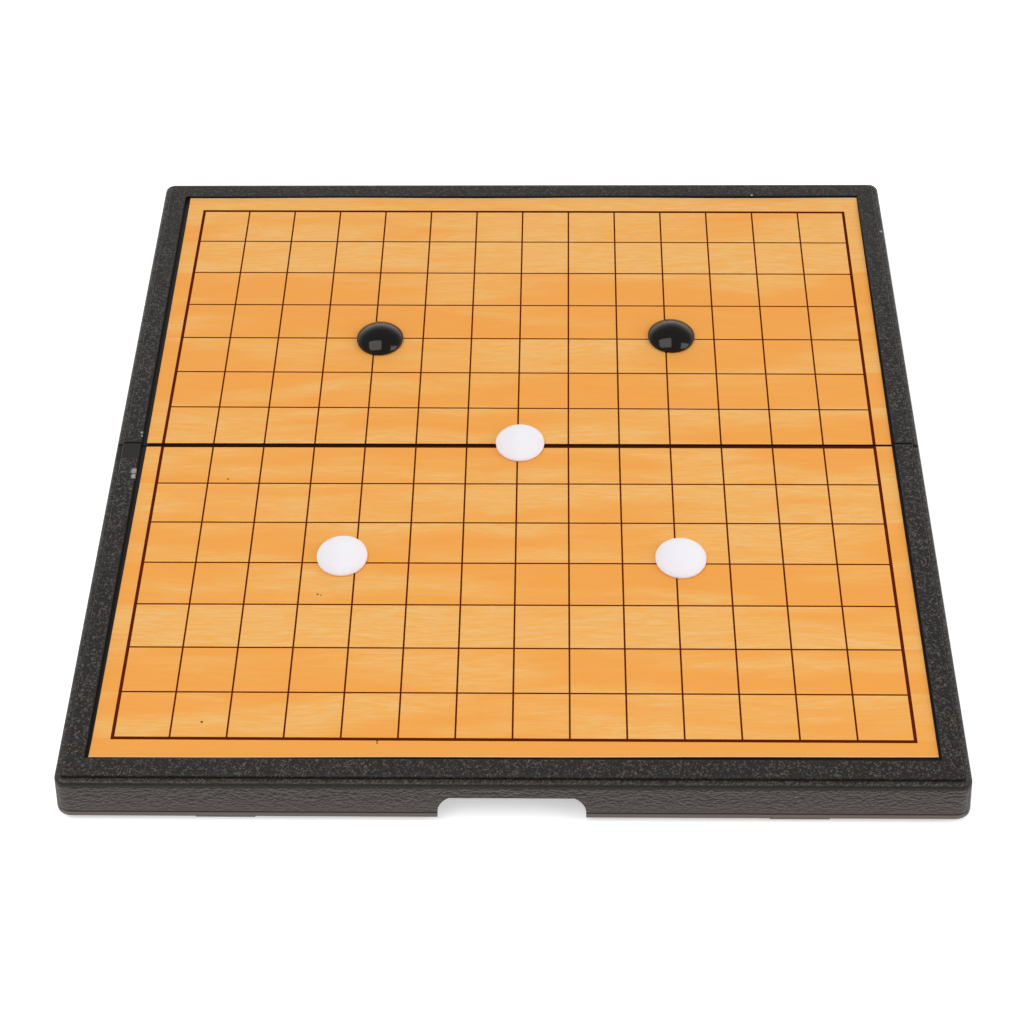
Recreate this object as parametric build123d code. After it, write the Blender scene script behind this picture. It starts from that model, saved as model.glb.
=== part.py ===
"""A folding magnetic game board, opened flat with its hollow sides down.

Two plastic trays are hinged along the middle seam. Each carries a steel sheet under a printed sheet, and
five magnetic stones stand on the lines. Sizes are in millimetres. X runs along the seam to the right, Y
away from the front edge and Z up. The origin is on the table, under the middle of the seam.
"""

import os
from math import atan2, degrees, sqrt

from build123d import *

# The opened board
board_size = 250.0  # width at the ledge, and depth over both halves
board_height = 17.05  # table to the top of the raised rim
stand_height = 2.4  # table to the lower edge of the walls: the board stands on its tabs
seam_gap = 0.5  # between the two halves
corner_radius = 3.0  # of the case at the ledge, in plan
wall_draft = 1.6  # how far the lower edge of the outer walls stands out past the ledge

# Tray moulding
wall = 2.2
seam_wall = 2.0
panel = 1.8  # under the steel sheet
inner_radius = 0.8  # where the walls run into the panel
rim_width = 7.7  # outer face to the recess of the sheet
rim_edge_radius = 0.4
ledge_width = 2.0  # the lower step round the outside of the rim
ledge_drop = 1.1
ledge_edge_radius = 1.2
lip_height = 1.6  # the smooth band along the lower edge of the walls
groove_width = 0.4  # the line above that band
groove_depth = 0.35

# Finger notch in the middle of each outer wall
notch_width = 41.0
notch_height = 8.05
notch_straight = 2.0  # height of the upright part of its sides
notch_radius = 7.3  # of the arcs from there to its top

# Tabs under the outer walls, which locate the halves when the case is shut
tab_width = 16.5
tab_thickness = 1.6
tab_setback = 1.0  # behind the outer face of the lip
tab_root = 4.0  # how far the tab runs up its wall
tab_lead = 0.4
tab_clearance = 0.3
front_tab_inset = 45.5  # side of the ledge to the middle of the tab
rear_tab_inset = 70.0

# Hinge
pin_radius = 0.9
pin_grip = 0.02  # radial clearance where a knuckle holds the pin
pin_running = 0.05  # radial clearance where a knuckle turns on the pin
pin_lead = 0.2
knuckle_wall = 1.0
knuckle_length = 5.0
knuckle_gap = 0.3
knuckle_count = 5  # in each hinge: front, rear, front, rear, front
hinge_inset = 17.0  # side of the ledge to the end of the hinge
shut_gap = 0.2  # between the walls of the two halves when shut

# Sheets
sheet_sink = 0.9  # printed face below the top of the rim
sheet_thickness = 0.3
steel_thickness = 0.4
sheet_margin = 0.5  # sheet to the walls of its recess
sheet_seam_margin = 0.75  # sheet to the seam face of its tray
steel_inset = 2.0  # edge of the steel inside the edge of the printed sheet

# Stones, with the places where they stand
column_pitch = 15.84
row_pitch = 15.69
stone_diameter = 15.1
stone_rim = 1.1
stone_crown = 3.2  # height of the dome above the rim
stone_edge = 0.3
stone_shoulder = 0.5  # rounding between the rim and the dome
magnet_diameter = 7.0
magnet_thickness = 2.0
magnet_sink = 0.1
magnet_clearance = 0.05
magnet_lead = 0.2
lines_to_stone = 3  # from the middle of the board to the four outer stones, both ways

# Worked out from the sizes above
half_size = board_size / 2
ledge_top = board_height - ledge_drop
lip_half = half_size + wall_draft
draft_angle = degrees(atan2(wall_draft, ledge_top - stand_height))
sheet_top = board_height - sheet_sink
steel_top = sheet_top - sheet_thickness
panel_top = steel_top - steel_thickness
panel_low = panel_top - panel
recess_half = half_size - rim_width
seam_face = seam_gap / 2
axis_height = stand_height - shut_gap / 2
shut_height = 2 * axis_height  # height on one half, plus the height that meets it on the other when shut
knuckle_radius = pin_radius + pin_running + knuckle_wall
hinge_length = knuckle_count * knuckle_length + (knuckle_count - 1) * knuckle_gap


def draft_at(height):
    """How far the outer face of the walls stands out past the ledge at this height."""
    return wall_draft * (ledge_top - height) / (ledge_top - stand_height)


def half_slab(inset, seam_inset, low, high):
    """The front half between two heights, inset from its drafted outer walls and from its seam face."""
    reach = half_size + draft_at(low) - inset
    plan = RectangleRounded(2 * reach, 2 * reach, corner_radius + draft_at(low) - inset)
    both_halves = extrude(Pos(0, 0, low) * plan, high - low, taper=draft_angle)
    return both_halves & block((-reach, reach), (-reach, -seam_face - seam_inset), (low, high))


def outer_top_edges(solid):
    """The upper edges of a slab, without the one along the seam."""
    return solid.edges().group_by(Axis.Z)[-1].filter_by(lambda edge: edge.center().Y < -seam_gap)


def block(x_range, y_range, z_range):
    """A box between two corners."""
    middle = [(low + high) / 2 for low, high in (x_range, y_range, z_range)]
    size = [high - low for low, high in (x_range, y_range, z_range)]
    return Pos(*middle) * Box(*size)


def rod(radius, start, end):
    """A round bar along the hinge axis."""
    return Pos((start + end) / 2, 0, axis_height) * Rot(0, 90, 0) * Cylinder(radius, end - start)


def tray_shell():
    """The moulding of one half without its hinge and tabs: walls, rim, recess, lip line and finger notch."""
    body = half_slab(0, 0, stand_height, ledge_top)
    body = fillet(outer_top_edges(body), ledge_edge_radius)
    rim = half_slab(ledge_width, 0, panel_low, board_height)
    body += fillet(outer_top_edges(rim), rim_edge_radius)

    hollow = half_slab(wall, seam_wall, 0, panel_low)
    body -= fillet(hollow.edges().group_by(Axis.Z)[-1], inner_radius)
    body -= block((-recess_half, recess_half), (-recess_half, seam_gap), (panel_top, board_height + rim_width))

    groove_low = stand_height + lip_height
    groove_top = groove_low + groove_width
    ring = half_slab(-wall, -seam_gap, groove_low, groove_top)
    body -= ring - half_slab(groove_depth, -seam_gap, groove_low, groove_top)
    return body - finger_notch()


def finger_notch():
    """The cut in the middle of the outer wall, open at the bottom."""
    rise = notch_height - notch_straight
    run = notch_radius - sqrt(notch_radius**2 - rise**2)
    side = notch_width / 2
    arc_start = stand_height + notch_straight
    top = stand_height + notch_height
    right = Polyline((0, 0), (side, 0), (side, arc_start))
    right += TangentArc((side, arc_start), (side - run, top), tangent=(0, 1))
    right += Line((side - run, top), (0, top))
    opening = make_face(right + mirror(right, Plane.YZ))
    inside = Plane.XZ.offset(half_size - 2 * wall)
    return extrude(inside * opening, 3 * wall + wall_draft)


def tab_centres(inset):
    return (inset - half_size, half_size - inset)


def tab(centre):
    """A flat tab that hangs from the outer wall, a little behind its outer face."""
    outer = tab_setback - lip_half
    across = (centre - tab_width / 2, centre + tab_width / 2)
    solid = block(across, (outer, outer + tab_thickness), (0, stand_height + tab_root))
    return chamfer(solid.edges().filter_by(Axis.X).group_by(Axis.Z)[0], tab_lead)


def tab_rebate(centre):
    """Room in the outer wall for the tab of the other half."""
    outer = tab_setback - lip_half
    reach = tab_width / 2 + tab_clearance
    depth = (outer - tab_clearance, outer + tab_thickness + tab_clearance)
    return block((centre - reach, centre + reach), depth, (0, shut_height + tab_clearance))


def hinge_starts():
    """The left end of each hinge."""
    return (hinge_inset - half_size, half_size - hinge_inset - hinge_length)


def add_hinges(tray, first, bore_radius):
    """Knuckles on every second place from the first, and room for the other half's knuckles between."""
    step = knuckle_length + knuckle_gap
    for start in hinge_starts():
        places = [start + number * step for number in range(knuckle_count)]
        for number, place in enumerate(places):
            if number % 2 != first:
                room = knuckle_radius + knuckle_gap
                tray -= rod(room, place - knuckle_gap, place + knuckle_length + knuckle_gap)
        for number, place in enumerate(places):
            if number % 2 == first:
                tray += rod(knuckle_radius, place, place + knuckle_length)
        tray -= rod(bore_radius, start - knuckle_gap, start + hinge_length + knuckle_gap)
        tray -= pin_entry(start)
    return tray


def pin_entry(start):
    """The channel along the seam through which a pin is pushed into its hinge from the middle."""
    radius = pin_radius + knuckle_gap
    if start < 0:
        inner_end = start + hinge_length + knuckle_gap
        return rod(radius, inner_end, inner_end + hinge_length)
    inner_end = start - knuckle_gap
    return rod(radius, inner_end - hinge_length, inner_end)


def make_tray(tab_inset, other_tab_inset, first_knuckle, bore_radius):
    tray = tray_shell()
    for centre in tab_centres(tab_inset):
        tray += tab(centre)
    for centre in tab_centres(other_tab_inset):
        tray -= tab_rebate(centre)
    return add_hinges(tray, first_knuckle, bore_radius)


def make_sheet(inset, low, high):
    """A flat sheet in the recess of the front half, its edges inset from those of the printed sheet."""
    half_width = recess_half - sheet_margin - inset
    depth = (-half_width, -seam_face - sheet_seam_margin - inset)
    return block((-half_width, half_width), depth, (low, high))


def make_pin(start):
    pin = rod(pin_radius, start, start + hinge_length)
    return chamfer(pin.edges().filter_by(GeomType.CIRCLE), pin_lead)


def make_stone():
    """A domed stone on its flat underside, with a round pocket for its magnet."""
    radius = stone_diameter / 2
    height = stone_rim + stone_crown
    sphere = (radius**2 + stone_crown**2) / (2 * stone_crown)
    on_dome = (radius / 2, height - sphere + (sphere**2 - radius**2 / 4) ** 0.5)
    side = Polyline((0, height), (0, 0), (radius - stone_edge, 0), (radius, stone_edge), (radius, stone_rim))
    dome = ThreePointArc((radius, stone_rim), on_dome, (0, height))
    stone = revolve(make_face(Plane.XZ * (side + dome)), Axis.Z)
    rings = stone.edges().filter_by(lambda edge: edge.is_closed)
    stone = fillet(rings.sort_by(Axis.Z)[-1], stone_shoulder)
    pocket_depth = magnet_sink + magnet_thickness
    pocket = Cylinder(magnet_diameter / 2 + magnet_clearance, pocket_depth)
    return stone - Pos(0, 0, pocket_depth / 2) * pocket


def make_magnet():
    magnet = Cylinder(magnet_diameter / 2, magnet_thickness)
    magnet = chamfer(magnet.edges().filter_by(GeomType.CIRCLE), magnet_lead)
    return Pos(0, 0, magnet_sink + magnet_thickness / 2) * magnet


# The two halves of the case, the rear one turned round the middle of the board
to_rear = Rot(0, 0, 180)
nodes = {
    "front_tray": make_tray(front_tab_inset, rear_tab_inset, 0, pin_radius + pin_grip),
    "rear_tray": to_rear * make_tray(rear_tab_inset, front_tab_inset, 1, pin_radius + pin_running),
    "front_steel_sheet": make_sheet(steel_inset, panel_top, steel_top),
    "rear_steel_sheet": to_rear * make_sheet(steel_inset, panel_top, steel_top),
    "front_board_sheet": make_sheet(0, steel_top, sheet_top),
    "rear_board_sheet": to_rear * make_sheet(0, steel_top, sheet_top),
}

# The hinge pins
for name, start in zip(("left_hinge_pin", "right_hinge_pin"), hinge_starts()):
    nodes[name] = make_pin(start)

# The stones: lines to the right of the middle and behind the seam, and how far each stands off its crossing
stone_places = {
    "black_stone_left": (-lines_to_stone, lines_to_stone, 2.3, -0.4),
    "black_stone_right": (lines_to_stone, lines_to_stone, 2.4, 0.8),
    "white_stone_centre": (0, 0, 1.1, 0.3),
    "white_stone_left": (-lines_to_stone, -lines_to_stone, -3.8, 1.7),
    "white_stone_right": (lines_to_stone, -lines_to_stone, 1.7, 1.1),
}
for name, (columns, rows, right, back) in stone_places.items():
    place = Pos(columns * column_pitch + right, rows * row_pitch + back, sheet_top)
    nodes[name] = place * make_stone()
    nodes[name + "_magnet"] = place * make_magnet()

os.makedirs("parts", exist_ok=True)
for name, shape in nodes.items():
    export_step(shape, "parts/" + name + ".step")
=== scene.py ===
"""A folding magnetic game board, opened flat with five stones on its printed lines."""

from math import cos, pi, radians

import bmesh
import bpy
from mathutils import Matrix, Vector


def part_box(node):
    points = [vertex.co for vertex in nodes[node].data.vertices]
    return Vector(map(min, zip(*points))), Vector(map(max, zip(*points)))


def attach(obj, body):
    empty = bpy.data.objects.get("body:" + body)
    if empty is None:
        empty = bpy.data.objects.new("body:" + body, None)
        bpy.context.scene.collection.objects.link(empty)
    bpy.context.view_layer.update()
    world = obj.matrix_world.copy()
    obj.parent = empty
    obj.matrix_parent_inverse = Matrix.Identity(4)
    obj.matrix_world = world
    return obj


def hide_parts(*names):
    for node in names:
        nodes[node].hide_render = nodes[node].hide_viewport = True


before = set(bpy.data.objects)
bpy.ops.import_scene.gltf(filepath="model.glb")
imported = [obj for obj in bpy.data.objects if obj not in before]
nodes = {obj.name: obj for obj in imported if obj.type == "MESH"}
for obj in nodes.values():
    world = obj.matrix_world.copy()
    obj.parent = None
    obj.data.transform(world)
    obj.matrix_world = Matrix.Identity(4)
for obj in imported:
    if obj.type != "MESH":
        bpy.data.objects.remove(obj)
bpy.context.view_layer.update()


# The two trays: black plastic mouldings, hinged along the seam, which lie with their hollow sides down.
# A leather grain in the mould covers the rim, the ledge and the walls. The lip along the lower edge of the
# walls, the seam faces, the recesses of the sheets and the insides come from smooth parts of the mould.
mm = 0.001
rim_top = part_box("front_tray")[1].z / mm  # the zones of the grain are laid out in millimetres
lip_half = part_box("front_tray")[1].x / mm
ledge_half = 125.0
ledge_drop = 1.1
ledge_top = rim_top - ledge_drop
stand_height = 2.4
lip_height = 2.0  # with the groove above it
lip_top = stand_height + lip_height
wall_lean = (lip_half - ledge_half) / (ledge_top - stand_height)
recess_half = 117.3
seam_land = 0.7
bare_patch = 7.2  # a smooth patch on the left rim of the front half, beside the seam
glint_fade = (20.0, 110.0)  # the part of the rear half along which the rim's painted glints fade, and its grain's relief with them
glint_left = 0.35  # how much of the painted glints and the grain's relief is left at the back
wrinkle_stretch = (0.68, 0.68, 1.35)
wrinkle_lift = 0.3 * mm
wrinkle_edge = 0.105
lip_fade_height = 6.0  # above the lip, over which the wrinkles' painted light and shade fade towards a paler grey
stroke_stretch = (0.9, 3.0, 3.0)
stroke_turn = radians(40)
grain_depth = 0.22 * mm
scuffs = (
    ((-117.9, -11.8, rim_top), 1.4),
    ((-117.7, -14.0, rim_top), 1.2),
    ((-117.6, 4.3, rim_top), 0.6),
    ((-117.4, 2.9, rim_top), 0.5),
    ((123.9, 99.8, ledge_top), 0.7),
    ((80.7, 117.6, rim_top), 0.5),
)


def put(tree, kind, inputs, **options):
    """Add a shader node, set its options, and set its inputs or link them to other nodes' sockets."""
    node = tree.nodes.new(kind)
    for option, value in options.items():
        setattr(node, option, value)
    for name, value in inputs.items():
        if isinstance(value, bpy.types.NodeSocket):
            tree.links.new(value, node.inputs[name])
        else:
            node.inputs[name].default_value = value
    return node


def calc(tree, operation, first, second=0.0):
    """One step of arithmetic, on numbers or sockets."""
    return put(tree, "ShaderNodeMath", {0: first, 1: second}, operation=operation).outputs[0]


def ease(tree, value, start, end):
    """0 at the start, 1 at the end, with a smooth step between."""
    span = {"Value": value, "From Min": start, "From Max": end}
    return put(tree, "ShaderNodeMapRange", span, interpolation_type="SMOOTHSTEP").outputs[0]


def blend(tree, factor, first, second):
    """A colour between two colours."""
    return put(tree, "ShaderNodeMix", {0: factor, 6: first, 7: second}, data_type="RGBA").outputs[2]


def place(tree, scale=(1, 1, 1), turn=0.0, lift=0.0):
    """Object coordinates in millimetres, lifted, turned about the vertical and then scaled."""
    where = tree.nodes.new("ShaderNodeTexCoord").outputs["Object"]
    change = {"Vector": where, "Location": (0, 0, -lift), "Rotation": (0, 0, turn)}
    change["Scale"] = [mm / part for part in scale]
    return put(tree, "ShaderNodeMapping", change, vector_type="TEXTURE").outputs[0]


def noise(tree, where, scale, detail=2.0, roughness=0.5, distortion=0.0):
    """A cloudy pattern, mostly between 0.3 and 0.7."""
    inputs = {"Vector": where, "Scale": scale, "Detail": detail}
    inputs.update({"Roughness": roughness, "Distortion": distortion})
    return put(tree, "ShaderNodeTexNoise", inputs).outputs["Fac"]


def finish_material(name, **sockets):
    """A new material with one principled shader, whose plain sockets are set by name."""
    material = bpy.data.materials.new(name)
    material.use_nodes = True
    shader = material.node_tree.nodes["Principled BSDF"]
    for socket, value in sockets.items():
        shader.inputs[socket.replace("_", " ")].default_value = value
    return material, material.node_tree, shader.inputs


def between(tree, factor, first, second):
    """A value between two values."""
    return put(tree, "ShaderNodeMix", {0: factor, 2: first, 3: second}, data_type="FLOAT").outputs[0]


def product(tree, first, *others):
    """All the factors multiplied."""
    for other in others:
        first = calc(tree, "MULTIPLY", first, other)
    return first


def contour(tree, value, width):
    """Winding lines, 1 along the middle level of a noise and 0 from this far off it."""
    return ease(tree, calc(tree, "ABSOLUTE", calc(tree, "SUBTRACT", value, 0.5)), width, 0.0)


def mark(tree, where, middle, size):
    """1 in the middle of a small mark, 0 from its edge on."""
    away = put(tree, "ShaderNodeVectorMath", {0: where, 1: middle}, operation="DISTANCE").outputs["Value"]
    return ease(tree, away, size, size * 0.5)


def roughen(tree, shader, pattern, low, spread):
    """Link a roughness, which the pattern raises from its low value."""
    raised = calc(tree, "MULTIPLY", pattern, spread)
    tree.links.new(calc(tree, "ADD", raised, low), shader["Roughness"])


def emboss(tree, shader, height, strength, distance):
    """Link a fine relief, by its pattern of heights."""
    bump = {"Height": height, "Strength": strength, "Distance": distance}
    tree.links.new(put(tree, "ShaderNodeBump", bump).outputs[0], shader["Normal"])


def grained_plastic():
    rim_black = (0.0108, 0.0094, 0.0085, 1)
    rim_glint = (0.115, 0.104, 0.096, 1)
    # the next two colours are painted light and painted shade: the lit tops and shaded undersides of the
    # wall's wrinkles, and the shade at the ledge's step and rounded edge
    lit_grey = (0.087, 0.070, 0.061, 1)
    shade_black = (0.008, 0.0066, 0.0060, 1)
    smooth_black = (0.0155, 0.0134, 0.0121, 1)
    lip_grey = (0.125, 0.094, 0.080, 1)
    scuff_grey = (0.42, 0.41, 0.40, 1)
    warm_sheen = (1.0, 0.92, 0.86, 1)
    material, tree, shader = finish_material(
        "grained_plastic", Specular_IOR_Level=0.35, Specular_Tint=warm_sheen,
    )
    spot = place(tree)
    across, along, up = put(tree, "ShaderNodeSeparateXYZ", {0: spot}).outputs
    reach = calc(tree, "MAXIMUM", calc(tree, "ABSOLUTE", across), calc(tree, "ABSOLUTE", along))

    # where the mould is grained: the outer walls above the lip, the ledge and the rim
    lean = calc(tree, "MULTIPLY", calc(tree, "SUBTRACT", ledge_top, up), wall_lean)
    outside = ease(tree, calc(tree, "SUBTRACT", reach, lean), ledge_half - 1.0, ledge_half - 0.8)
    above = ease(tree, up, ledge_top - 0.5, ledge_top - 0.4)
    on_rim = product(tree, above, ease(tree, reach, recess_half + 0.05, recess_half + 0.25))
    off_lip = ease(tree, up, lip_top, lip_top + 0.5)
    off_seam = ease(tree, calc(tree, "ABSOLUTE", along), seam_land, seam_land + 0.3)
    grained = product(tree, calc(tree, "MAXIMUM", outside, on_rim), off_lip, off_seam)
    patch_start = ease(tree, along, -bare_patch, 0.8 - bare_patch)
    patch_end = ease(tree, along, 0.3, 0.0)
    left_rim = product(tree, ease(tree, across, -recess_half, -recess_half - 0.2), above)
    patch = product(tree, patch_start, patch_end, left_rim)
    grained = product(tree, grained, calc(tree, "SUBTRACT", 1.0, patch))

    # the rim has small raised worms, whose crests are painted as highlights, and the walls have lying
    # wrinkles, painted with shade below and light above
    glinting_worms = contour(tree, noise(tree, spot, 0.95, distortion=0.3), 0.06)
    glinting_worms = product(tree, glinting_worms, ease(tree, noise(tree, spot, 0.9, detail=1.5), 0.4, 0.58))
    # the worms' painted highlights, and their relief, fade towards the back, where the light glances off
    # the rim
    glinting_worms = product(tree, glinting_worms, between(tree, ease(tree, along, *glint_fade), 1.0, glint_left))
    lying = {"scale": 1.0, "detail": 1.5, "distortion": 0.7}
    # the wrinkles' painted light and shade: the height a little higher up less the height here, dark where
    # the relief falls away below
    upper = noise(tree, place(tree, wrinkle_stretch, lift=wrinkle_lift), **lying)
    lower = noise(tree, place(tree, wrinkle_stretch), **lying)
    wrinkle_shade = ease(tree, calc(tree, "SUBTRACT", upper, lower), -wrinkle_edge, wrinkle_edge)
    near_lip = ease(tree, up, lip_top + lip_fade_height, lip_top)
    wrinkle_shade = between(tree, product(tree, near_lip, 0.5), wrinkle_shade, 0.7)
    fine = noise(tree, spot, 3.0, roughness=0.6)
    on_wall = ease(tree, up, ledge_top - 1.2, ledge_top - 2.0)
    relief = between(tree, on_wall, glinting_worms, calc(tree, "MULTIPLY", lower, 2.0))
    relief = calc(tree, "ADD", relief, calc(tree, "MULTIPLY", fine, 0.3))
    relief = product(tree, relief, grained)

    # the ledge has slanting strokes painted as highlights, its step and its rounded edge are painted with
    # shade, and the lip below is grey
    below_step = ease(tree, up, ledge_top + 0.6, ledge_top + 0.3)
    step_outer = ledge_half - 1.6
    step_inner = ledge_half - 1.8
    on_ledge = product(tree, below_step, ease(tree, reach, step_inner, step_outer))
    glinting_strokes = noise(tree, place(tree, stroke_stretch, turn=stroke_turn), 1.0, detail=1.5)
    glinting_strokes = product(tree, on_ledge, ease(tree, glinting_strokes, 0.42, 0.76))
    rim_colour = blend(tree, calc(tree, "MAXIMUM", glinting_worms, glinting_strokes), rim_black, rim_glint)
    rounding = ease(tree, up, ledge_top - 0.05, ledge_top - 0.4)
    step = product(tree, below_step, ease(tree, reach, step_outer, step_inner))
    rim_colour = blend(tree, calc(tree, "MAXIMUM", rounding, step), rim_colour, shade_black)
    wall_colour = blend(tree, wrinkle_shade, shade_black, lit_grey)
    colour = blend(tree, on_wall, rim_colour, wall_colour)
    on_lip = product(tree, outside, ease(tree, up, lip_top, lip_top - 0.8))
    smooth = blend(tree, on_lip, smooth_black, lip_grey)
    colour = blend(tree, grained, smooth, colour)
    for middle, size in scuffs:
        rubbed = product(tree, mark(tree, spot, middle, size), ease(tree, fine, 0.35, 0.55))
        colour = blend(tree, rubbed, colour, scuff_grey)
    tree.links.new(colour, shader["Base Color"])
    roughen(tree, shader, fine, low=0.3, spread=0.2)
    emboss(tree, shader, relief, strength=1.0, distance=grain_depth)
    return material


def coat(node, material):
    """Give a piece of the frame its finish."""
    slots = nodes[node].data.materials
    slots.clear()
    slots.append(material)


case_plastic = grained_plastic()
for node in ("front_tray", "rear_tray"):
    coat(node, case_plastic)


# The hinge pins: two lengths of drawn steel wire, pushed into the knuckles of the trays from the middle.
# The drawing leaves fine lines along the wire.
wire_stretch = (0.05, 1.0, 1.0)


def drawn_wire():
    dull_steel = (0.46, 0.46, 0.47, 1)
    bright_steel = (0.68, 0.68, 0.69, 1)
    material, tree, shader = finish_material("drawn_wire", Metallic=1.0)
    streaks = noise(tree, place(tree, wire_stretch), 9.0, detail=3.0, roughness=0.6)
    tree.links.new(blend(tree, streaks, dull_steel, bright_steel), shader["Base Color"])
    roughen(tree, shader, streaks, low=0.22, spread=0.2)
    return material


pin_wire = drawn_wire()
for node in ("left_hinge_pin", "right_hinge_pin"):
    coat(node, pin_wire)


# The steel sheets: thin rolled tinplate, glued into the recesses under the printed sheets, which the
# stones' magnets hold on to. Only the gap at the seam and a thin edge could ever show them.
rolling_stretch = (0.04, 1.0, 1.0)


def rolled_tinplate():
    dull_tin = (0.42, 0.42, 0.43, 1)
    bright_tin = (0.6, 0.6, 0.61, 1)
    stain_brown = (0.36, 0.34, 0.31, 1)
    material, tree, shader = finish_material("rolled_tinplate", Metallic=1.0)
    rolling = noise(tree, place(tree, rolling_stretch), 3.0, detail=4.0, roughness=0.6)
    stains = noise(tree, place(tree), 0.05, detail=4.0, roughness=0.6)
    colour = blend(tree, rolling, dull_tin, bright_tin)
    colour = blend(tree, ease(tree, stains, 0.5, 0.75), colour, stain_brown)
    tree.links.new(colour, shader["Base Color"])
    roughen(tree, shader, stains, low=0.2, spread=0.3)
    return material


tinplate = rolled_tinplate()
for node in ("front_steel_sheet", "rear_steel_sheet"):
    coat(node, tinplate)


# The printed sheets: laminated card with an orange wood print and dark brown lines, glued over the steel.
# They were cut by hand, so their edges run a little askew in the recesses, and the card's pale core shows
# at the cut. The lines are their own faces, cut into the card by planes, with the ink as their material.
columns = 15
rows_per_half = 7
column_pitch = 15.84 * mm
row_pitch = 15.69 * mm
row_start = 0.36 * mm  # the middle of the board to the row that the seam takes
column_line = 0.53 * mm
row_line = 0.5 * mm
frame_line = 0.99 * mm
middle_line = 1.1 * mm  # from the middle of the board to the front edge of the line that the seam takes
sheet_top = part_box("front_board_sheet")[1].z / mm
flecks = (
    ((-86.5, -104.7), 0.5),
    ((-57.6, -59.4), 0.4),
    ((-56.6, -59.7), 0.3),
    ((-88.7, -14.3), 0.4),
    ((-37.2, -110.9), 0.35),
    ((-37.2, -111.6), 0.35),
)
first_board = 2665.0  # where the print's run of boards starts
board_jump = (300, 90, 40)  # how far apart the boards' parts of the figure can lie
figure_size = (50, 16)  # length and width of the print's patterns, in millimetres
figure_sway = 10.0
tone_size = (60, 10)
tone_spread = 0.4
usual_tone = 0.45
border_tone_and_sheen = 0.3  # the front border is deeper in tone, and the rear border is painted paler for the sheen of light on it
streak_size = (9, 0.55)
fibre_size = (4, 0.3)
bleed = 0.18 * mm  # the unprinted strip along the outer edge
edge_lift = 0.16 * mm  # the outer edge stands off the steel
edge_wave = 0.26 * mm
edge_wave_length = 92.0 * mm
edge_reach = 6.0 * mm
weld_distance = 0.001 * mm


def wood_print():
    """Printed boards, one to each row of cells, each with its own tone and its own part of the figure."""
    amber = (0.87, 0.355, 0.060, 1)
    honey = (0.86, 0.415, 0.090, 1)
    straw = (0.85, 0.515, 0.195, 1)
    fleck = (0.16, 0.05, 0.012, 1)
    material, tree, shader = finish_material("wood_print", Specular_IOR_Level=0.25)
    along = put(tree, "ShaderNodeSeparateXYZ", {0: place(tree)}).outputs[1]
    beyond = calc(tree, "SUBTRACT", calc(tree, "ABSOLUTE", along), row_start / mm)
    row = calc(tree, "FLOOR", calc(tree, "DIVIDE", beyond, row_pitch / mm))
    board = calc(tree, "ADD", row, calc(tree, "MULTIPLY", calc(tree, "SIGN", along), first_board))
    chance = put(tree, "ShaderNodeTexWhiteNoise", {"W": board}, noise_dimensions="1D").outputs
    jump = {0: chance["Color"], 1: board_jump}
    shift = put(tree, "ShaderNodeVectorMath", jump, operation="MULTIPLY").outputs[0]
    where = put(tree, "ShaderNodeVectorMath", {0: place(tree), 1: shift}).outputs[0]

    def stretched(vector, length, width):
        """The same place on the board, with the figure drawn out along it."""
        scale = {"Vector": vector, "Scale": (1 / length, 1 / width, 1 / width)}
        return put(tree, "ShaderNodeMapping", scale).outputs[0]

    figure = noise(tree, stretched(where, *figure_size), 1.0, detail=1.0)
    sway = put(tree, "ShaderNodeCombineXYZ", {1: calc(tree, "MULTIPLY", figure, figure_sway)}).outputs[0]
    swayed = put(tree, "ShaderNodeVectorMath", {0: where, 1: sway}).outputs[0]
    tones = noise(tree, stretched(swayed, *tone_size), 1.0)
    own_tone = calc(tree, "SUBTRACT", chance["Value"], usual_tone)
    tones = calc(tree, "ADD", tones, calc(tree, "MULTIPLY", own_tone, tone_spread))
    # the border rows: the front one is printed deeper, and the rear one gets a painted sheen that makes it
    # paler
    border = ease(tree, row, rows_per_half - 0.6, rows_per_half - 0.4)
    tones = calc(tree, "ADD", tones, product(tree, border, calc(tree, "SIGN", along), border_tone_and_sheen))
    streaks = noise(tree, stretched(swayed, *streak_size), 1.0, detail=3.0, roughness=0.65)
    fibres = noise(tree, stretched(swayed, *fibre_size), 1.0, roughness=0.6)
    colour = blend(tree, ease(tree, tones, 0.36, 0.68), amber, honey)
    pale = between(tree, ease(tree, tones, 0.4, 0.72), 0.1, 0.9)
    colour = blend(tree, product(tree, pale, ease(tree, streaks, 0.36, 0.68)), colour, straw)
    colour = blend(tree, product(tree, ease(tree, fibres, 0.45, 0.75), 0.6), colour, amber)
    for middle, size in flecks:
        colour = blend(tree, mark(tree, place(tree), (*middle, sheet_top), size), colour, fleck)
    tree.links.new(colour, shader["Base Color"])
    roughen(tree, shader, fibres, low=0.42, spread=0.12)
    return material


def line_ink():
    dark_brown = (0.090, 0.0115, 0.0001, 1)
    red_brown = (0.124, 0.0165, 0.0002, 1)
    material, tree, shader = finish_material("line_ink", Specular_IOR_Level=0.0)
    dots = noise(tree, place(tree), 3.0, detail=3.0, roughness=0.6)
    tree.links.new(blend(tree, dots, dark_brown, red_brown), shader["Base Color"])
    roughen(tree, shader, dots, low=0.42, spread=0.1)
    return material


def card_core():
    card_tan = (0.72, 0.5, 0.27, 1)
    card_cream = (0.9, 0.76, 0.52, 1)
    material, tree, shader = finish_material("card_core", Specular_IOR_Level=0.3)
    fluff = noise(tree, place(tree), 2.0, detail=4.0, roughness=0.7)
    tree.links.new(blend(tree, fluff, card_tan, card_cream), shader["Base Color"])
    roughen(tree, shader, fluff, low=0.7, spread=0.2)
    return material


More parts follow.
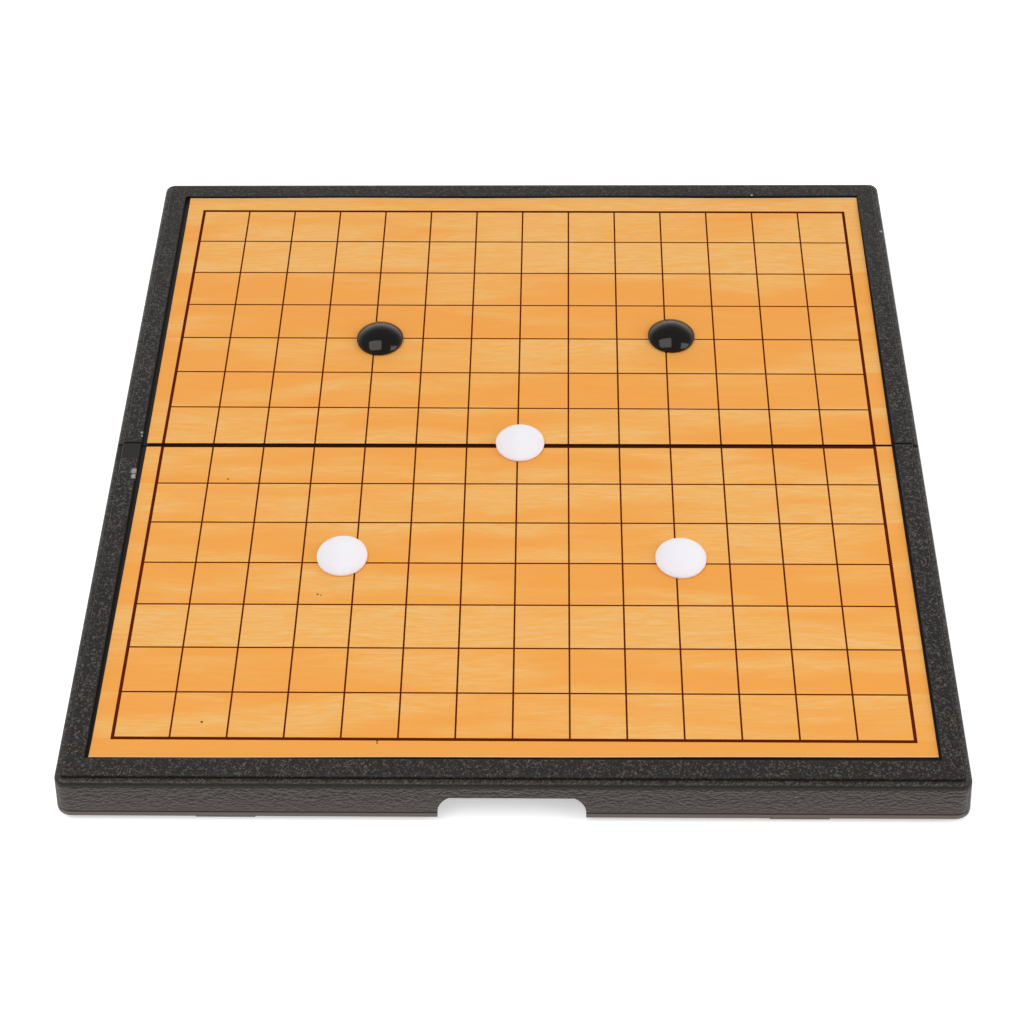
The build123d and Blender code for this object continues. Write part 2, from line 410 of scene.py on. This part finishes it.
def line_spans(side):
    """The two edges of each printed line, across the columns and along the rows of one half."""
    column_spans = []
    for number in range(columns):
        middle = (number - (columns - 1) / 2) * column_pitch
        width = frame_line if number in (0, columns - 1) else column_line
        column_spans.append((middle - width / 2, middle + width / 2))
    row_spans = [(-middle_line, 0.0)] if side < 0 else []
    for number in range(1, rows_per_half + 1):
        middle = side * (row_start + number * row_pitch)
        width = frame_line if number == rows_per_half else row_line
        row_spans.append((middle - width / 2, middle + width / 2))
    return column_spans, row_spans


def within(value, spans):
    """Whether a value lies in one of the spans."""
    return any(min(span) < value < max(span) for span in spans)


def finish_piece(name, bm, materials):
    """Close a bmesh into an object of the scene."""
    mesh = bpy.data.meshes.new(name)
    bm.to_mesh(mesh)
    bm.free()
    for material in materials:
        mesh.materials.append(material)
    piece = bpy.data.objects.new(name, mesh)
    bpy.context.scene.collection.objects.link(piece)
    return piece


def card_slab(node, side, corners):
    """The sheet as it was cut: a slab as thick as the solid, with its own four corners."""
    low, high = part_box(node)
    middle = (low + high) / 2
    bm = bmesh.new()
    bmesh.ops.create_cube(bm, size=1.0)
    bmesh.ops.scale(bm, vec=high - low, verts=bm.verts)
    bmesh.ops.translate(bm, vec=middle, verts=bm.verts)
    for vert in bm.verts:
        edge = "outer" if (vert.co.y - middle.y) * side > 0 else "seam"
        hand = "left" if vert.co.x < middle.x else "right"
        vert.co.x, vert.co.y = corners[edge, hand]
    return bm


def bleed_line(corners, side):
    """A plane along the inner side of the unprinted strip, and its way out: a point and a normal."""
    left = Vector((*corners["outer", "left"], 0))
    right = Vector((*corners["outer", "right"], 0))
    outward = (right - left).cross(Vector((0, 0, -side))).normalized()
    return left - outward * bleed, outward


def past(face, plane):
    """Whether the middle of a face lies beyond a plane."""
    point, outward = plane
    return (face.calc_center_median() - point).dot(outward) > 0


def printed_sheet(name, node, side, corners, print_shift, print_turn):
    """One half's sheet. The print is shifted and turned on it, about the middle of the board."""
    bm = card_slab(node, side, corners)
    column_spans, row_spans = line_spans(side)
    turn = Matrix.Rotation(print_turn, 4, "Z")
    to_board = Matrix.Translation((*print_shift, 0)) @ turn
    to_print = to_board.inverted()
    cuts = [((edge, 0, 0), (1, 0, 0)) for span in column_spans for edge in span]
    cuts += [((0, edge, 0), (0, 1, 0)) for span in row_spans for edge in span]
    cuts.append(((0, side * (abs(corners["outer", "left"][1]) - edge_reach), 0), (0, 1, 0)))
    cuts = [(to_board @ Vector(point), turn @ Vector(normal)) for point, normal in cuts]
    unprinted = bleed_line(corners, side)
    for point, normal in cuts + [unprinted]:
        geometry = bm.verts[:] + bm.edges[:] + bm.faces[:]
        bmesh.ops.bisect_plane(bm, geom=geometry, plane_co=point, plane_no=normal, dist=weld_distance)

    outer_column = max(column_spans[-1])
    outer_row = max(abs(edge) for span in row_spans for edge in span)
    for face in bm.faces:
        where = to_print @ face.calc_center_median()
        inside = abs(where.x) < outer_column and abs(where.y) < outer_row
        on_line = inside and (within(where.x, column_spans) or within(where.y, row_spans))
        # the cut faces at the seam take the ink's dark colour, as painted shade for the gap between the
        # sheets
        seam_cut = face.normal.y * side < -0.5
        if seam_cut or (on_line and face.normal.z > 0.5):
            face.material_index = 1
        elif past(face, unprinted) or face.normal.z < 0.5:
            face.material_index = 2
    outer_edge = corners["outer", "left"][1]
    for vert in bm.verts:
        near = max(0.0, 1.0 - abs(vert.co.y - outer_edge) / edge_reach)
        swell = 0.5 - 0.5 * cos(2 * pi * vert.co.x / edge_wave_length + side)
        vert.co.z += (edge_lift + edge_wave * swell) * near**2
    return finish_piece(name, bm, (wood_card, lines, core))


wood_card = wood_print()
lines = line_ink()
core = card_core()
front_corners = {
    ("outer", "left"): (-116.3 * mm, -116.7 * mm),
    ("outer", "right"): (116.7 * mm, -115.5 * mm),
    ("seam", "left"): (-115.6 * mm, -0.85 * mm),
    ("seam", "right"): (116.5 * mm, -0.45 * mm),
}
rear_corners = {
    ("outer", "left"): (-115.7 * mm, 117.0 * mm),
    ("outer", "right"): (117.1 * mm, 116.7 * mm),
    ("seam", "left"): (-115.7 * mm, 0.7 * mm),
    ("seam", "right"): (116.5 * mm, 0.4 * mm),
}
front_print = ((0.3 * mm, -0.1 * mm), radians(-0.08))
rear_print = ((0.3 * mm, -0.25 * mm), radians(-0.3))
halves = (("front", -1, front_corners, front_print), ("rear", 1, rear_corners, rear_print))
for half, side, corners, (shift, turn) in halves:
    sheet = printed_sheet(half + "_printed_sheet", half + "_board_sheet", side, corners, shift, turn)
    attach(sheet, half + "_half")
    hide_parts(half + "_board_sheet")


# The stones: polished plastic discs with a domed top, black and white, and a pocket below for the magnet.
# Each is turned here from its profile: the dome runs down into the rim in one curve, and the foot is round.
# The white plastic lets a little light in, which evens out its shading.
stone_rim = 1.0 * mm
stone_foot = 0.6 * mm
foot_segments = 5
dome_fall = 0.85  # 1 is a plain cap, and below that the edge of the dome is rounded
pocket_radius = 3.55 * mm
pocket_depth = 2.1 * mm
dome_rings = 18
turn_steps = 96
ring_width = 0.01 * mm  # how close to a circle its vertices lie
sharp_angle = radians(40)
smear_stretch = (1.0, 0.4, 1.0)
smear_turn = 0.6
ripple_depth = 0.06 * mm


def polished_plastic(name, colour, shade, gloss, **sockets):
    """A clouded colour under a gloss with faint smears and slow ripples."""
    material, tree, shader = finish_material(name, **sockets)
    clouds = noise(tree, place(tree), 0.25, detail=3.0, roughness=0.6)
    tree.links.new(blend(tree, clouds, colour, shade), shader["Base Color"])
    smears = noise(tree, place(tree, smear_stretch, smear_turn), 0.7, detail=4.0, roughness=0.65)
    roughen(tree, shader, smears, low=gloss, spread=0.1)
    ripples = noise(tree, place(tree), 0.35, detail=1.0)
    emboss(tree, shader, ripples, strength=0.25, distance=ripple_depth)
    return material


def ring_edges(bm, radius, height):
    """The edges of the circle at this radius and height."""
    def on_ring(vert):
        return abs(vert.co.xy.length - radius) < ring_width and abs(vert.co.z - height) < ring_width
    return [edge for edge in bm.edges if all(on_ring(vert) for vert in edge.verts)]


def turned_stone(name, node, material):
    """A stone that fills the box of its solid."""
    low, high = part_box(node)
    radius = (high.x - low.x) / 2
    height = high.z - low.z
    crown = height - stone_rim
    profile = [(0.0, pocket_depth), (pocket_radius, pocket_depth), (pocket_radius, 0.0), (radius, 0.0)]
    for ring in range(dome_rings + 1):
        out = cos(ring / dome_rings * pi / 2)
        profile.append((radius * out, stone_rim + crown * (1 - out**2) ** dome_fall))
    bm = bmesh.new()
    verts = [bm.verts.new((out, 0.0, up)) for out, up in profile]
    for first, second in zip(verts, verts[1:]):
        bm.edges.new((first, second))
    bmesh.ops.spin(
        bm, geom=bm.verts[:] + bm.edges[:], cent=(0, 0, 0), axis=(0, 0, 1), angle=2 * pi, steps=turn_steps,
        use_merge=True,
    )
    bmesh.ops.remove_doubles(bm, verts=bm.verts, dist=weld_distance)
    bmesh.ops.recalc_face_normals(bm, faces=bm.faces)
    foot = ring_edges(bm, radius, 0.0)
    bmesh.ops.bevel(
        bm, geom=foot, offset=stone_foot, offset_type="OFFSET", affect="EDGES", segments=foot_segments,
        profile=0.5, material=-1,
    )
    bmesh.ops.translate(bm, vec=((low.x + high.x) / 2, (low.y + high.y) / 2, low.z), verts=bm.verts)
    piece = finish_piece(name, bm, (material,))
    piece.data.shade_smooth()
    piece.data.set_sharp_from_angle(angle=sharp_angle)
    return piece


black_plastic = polished_plastic(
    "black_stone", colour=(0.002, 0.0016, 0.0014, 1), shade=(0.003, 0.0025, 0.0022, 1), gloss=0.05,
    Specular_IOR_Level=0.32, Specular_Tint=(1.0, 0.91, 0.85, 1),
)
white_plastic = polished_plastic(
    "white_stone", colour=(0.86, 0.845, 0.91, 1), shade=(0.88, 0.865, 0.925, 1), gloss=0.5,
    Specular_IOR_Level=0.15, Subsurface_Weight=0.6, Subsurface_Radius=(1.0, 1.0, 1.0),
    Subsurface_Scale=2.5 * mm,
)
stones = {
    "black_left": ("black_stone_left", black_plastic, "black_stone"),
    "black_right": ("black_stone_right", black_plastic, "black_stone"),
    "white_centre": ("white_stone_centre", white_plastic, "white_stone"),
    "white_left": ("white_stone_left", white_plastic, "white_stone"),
    "white_right": ("white_stone_right", white_plastic, "white_stone"),
}
for body, (node, material, slot) in stones.items():
    stone = turned_stone(node.replace("stone", "domed_stone"), node, material)
    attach(stone, body)
    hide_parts(node)


# The magnets: discs of pressed and sintered ferrite, dark grey and a little gritty. Each is glued into the
# pocket under its stone.
grit_depth = 0.05 * mm


def sintered_ferrite():
    dark_ferrite = (0.04, 0.04, 0.043, 1)
    grey_ferrite = (0.13, 0.13, 0.135, 1)
    material, tree, shader = finish_material("sintered_ferrite", Metallic=0.4)
    grit = noise(tree, place(tree), 4.0, detail=4.0, roughness=0.7)
    tree.links.new(blend(tree, grit, dark_ferrite, grey_ferrite), shader["Base Color"])
    roughen(tree, shader, grit, low=0.5, spread=0.2)
    emboss(tree, shader, grit, strength=0.4, distance=grit_depth)
    return material


ferrite = sintered_ferrite()
for node, *_ in stones.values():
    coat(node + "_magnet", ferrite)


# The table: a plain pale floor, which takes the board's shadow. Only the camera sees it, because the room
# below gives back the light that it would. Its underside is clear, and it swings with the rear half, which
# lies below the table's level in the shut case.
floor_size = 1.2
floor_white = 0.42
gap_edge = (0.3, 0.6)  # from the middle of the seam, in millimetres
gap_end = (lip_half - 2.0, lip_half)


def pale_floor():
    """White paper, with a little more white, so that only the shadow shows. The seam's gap stays dark."""
    paper_white = (0.96, 0.96, 0.96, 1)
    material, tree, shader = finish_material("pale_floor", Roughness=0.9, Specular_IOR_Level=0.1)
    shader["Base Color"].default_value = paper_white
    shader["Emission Color"].default_value = (1, 1, 1, 1)
    across, along = put(tree, "ShaderNodeSeparateXYZ", {0: place(tree)}).outputs[:2]
    beside = ease(tree, calc(tree, "ABSOLUTE", across), *gap_end)
    off_seam = ease(tree, calc(tree, "ABSOLUTE", along), *gap_edge)
    seen = calc(tree, "MAXIMUM", beside, off_seam)
    tree.links.new(calc(tree, "MULTIPLY", seen, floor_white), shader["Emission Strength"])
    below = tree.nodes.new("ShaderNodeNewGeometry").outputs["Backfacing"]
    paper = tree.nodes["Principled BSDF"].outputs[0]
    clear = tree.nodes.new("ShaderNodeBsdfTransparent").outputs[0]
    one_sided = put(tree, "ShaderNodeMixShader", {0: below, 1: paper, 2: clear}).outputs[0]
    tree.links.new(one_sided, tree.nodes["Material Output"].inputs["Surface"])
    return material


bm = bmesh.new()
bmesh.ops.create_grid(bm, x_segments=1, y_segments=1, size=floor_size / 2)
floor = finish_piece("floor", bm, (pale_floor(),))
floor.visible_diffuse = False
floor.visible_glossy = False
floor.visible_transmission = False
floor.visible_shadow = False
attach(floor, "rear_half")


# The light: a large soft light overhead to the front left, a lower one to the right, and a pale room, dim
# above, which is white around the horizon and brightest behind the board.
def soft_light(name, power, size, distance, lean_left, lean_front):
    """A light that hangs over the board and swings to the left and to the front, facing the board."""
    lamp = bpy.data.lights.new(name, "AREA")
    lamp.shape = "RECTANGLE"
    lamp.energy = power
    lamp.size, lamp.size_y = size
    light = bpy.data.objects.new(name, lamp)
    bpy.context.scene.collection.objects.link(light)
    swing = Matrix.Rotation(radians(lean_front), 4, "X") @ Matrix.Rotation(radians(-lean_left), 4, "Y")
    light.matrix_world = swing @ Matrix.Translation((0, 0, distance))


room_level = 0.48
wall_level = 1.0
wall_top = 0.5  # walls and window are laid out by the upward and backward parts of a ray of length 1
wall_foot = 0.15
window_level = 1.7
window_top = 0.72
window_edge = 0.5
window_middle = 0.95
scene = bpy.context.scene
scene.world = bpy.data.worlds.new("room")
scene.world.use_nodes = True
tree = scene.world.node_tree
ray = tree.nodes.new("ShaderNodeTexCoord").outputs["Generated"]
behind, height = put(tree, "ShaderNodeSeparateXYZ", {0: ray}).outputs[1:]
level = between(tree, ease(tree, height, wall_top, wall_foot), room_level, wall_level)
window_sides = ease(tree, behind, window_edge, window_middle)
window = product(tree, ease(tree, height, window_top, 0.0), window_sides)
level = between(tree, window, level, window_level)
tree.links.new(level, tree.nodes["Background"].inputs["Strength"])
tree.nodes["Background"].inputs["Color"].default_value = (1, 1, 1, 1)
soft_light("overhead_light", power=9.2, size=(1.15, 0.92), distance=1.5, lean_left=18, lean_front=14)
soft_light("side_light", power=4.0, size=(0.71, 0.59), distance=1.3, lean_left=-53, lean_front=24)


# The camera: above the front edge, looking down at the board. Its place, its turn and its length come
# from a fit to the printed lines and to the outline of the case.
picture_width = 1024
focal_pixels = 2003.9
camera_place = (9.98 * mm, -422.47 * mm, 476.74 * mm)
look_down = 49.374
look_left = 1.602
roll = -1.12
camera = bpy.data.objects.new("camera", bpy.data.cameras.new("camera"))
scene.collection.objects.link(camera)
camera.data.sensor_width = 36.0
camera.data.lens = focal_pixels / picture_width * camera.data.sensor_width
camera.data.clip_start = 0.01
turn = Matrix.Rotation(radians(look_left), 4, "Z")
tilt = Matrix.Rotation(radians(90 - look_down), 4, "X")
lean = Matrix.Rotation(radians(roll), 4, "Z")
camera.matrix_world = Matrix.Translation(camera_place) @ turn @ tilt @ lean
scene.camera = camera
scene.view_settings.view_transform = "Standard"
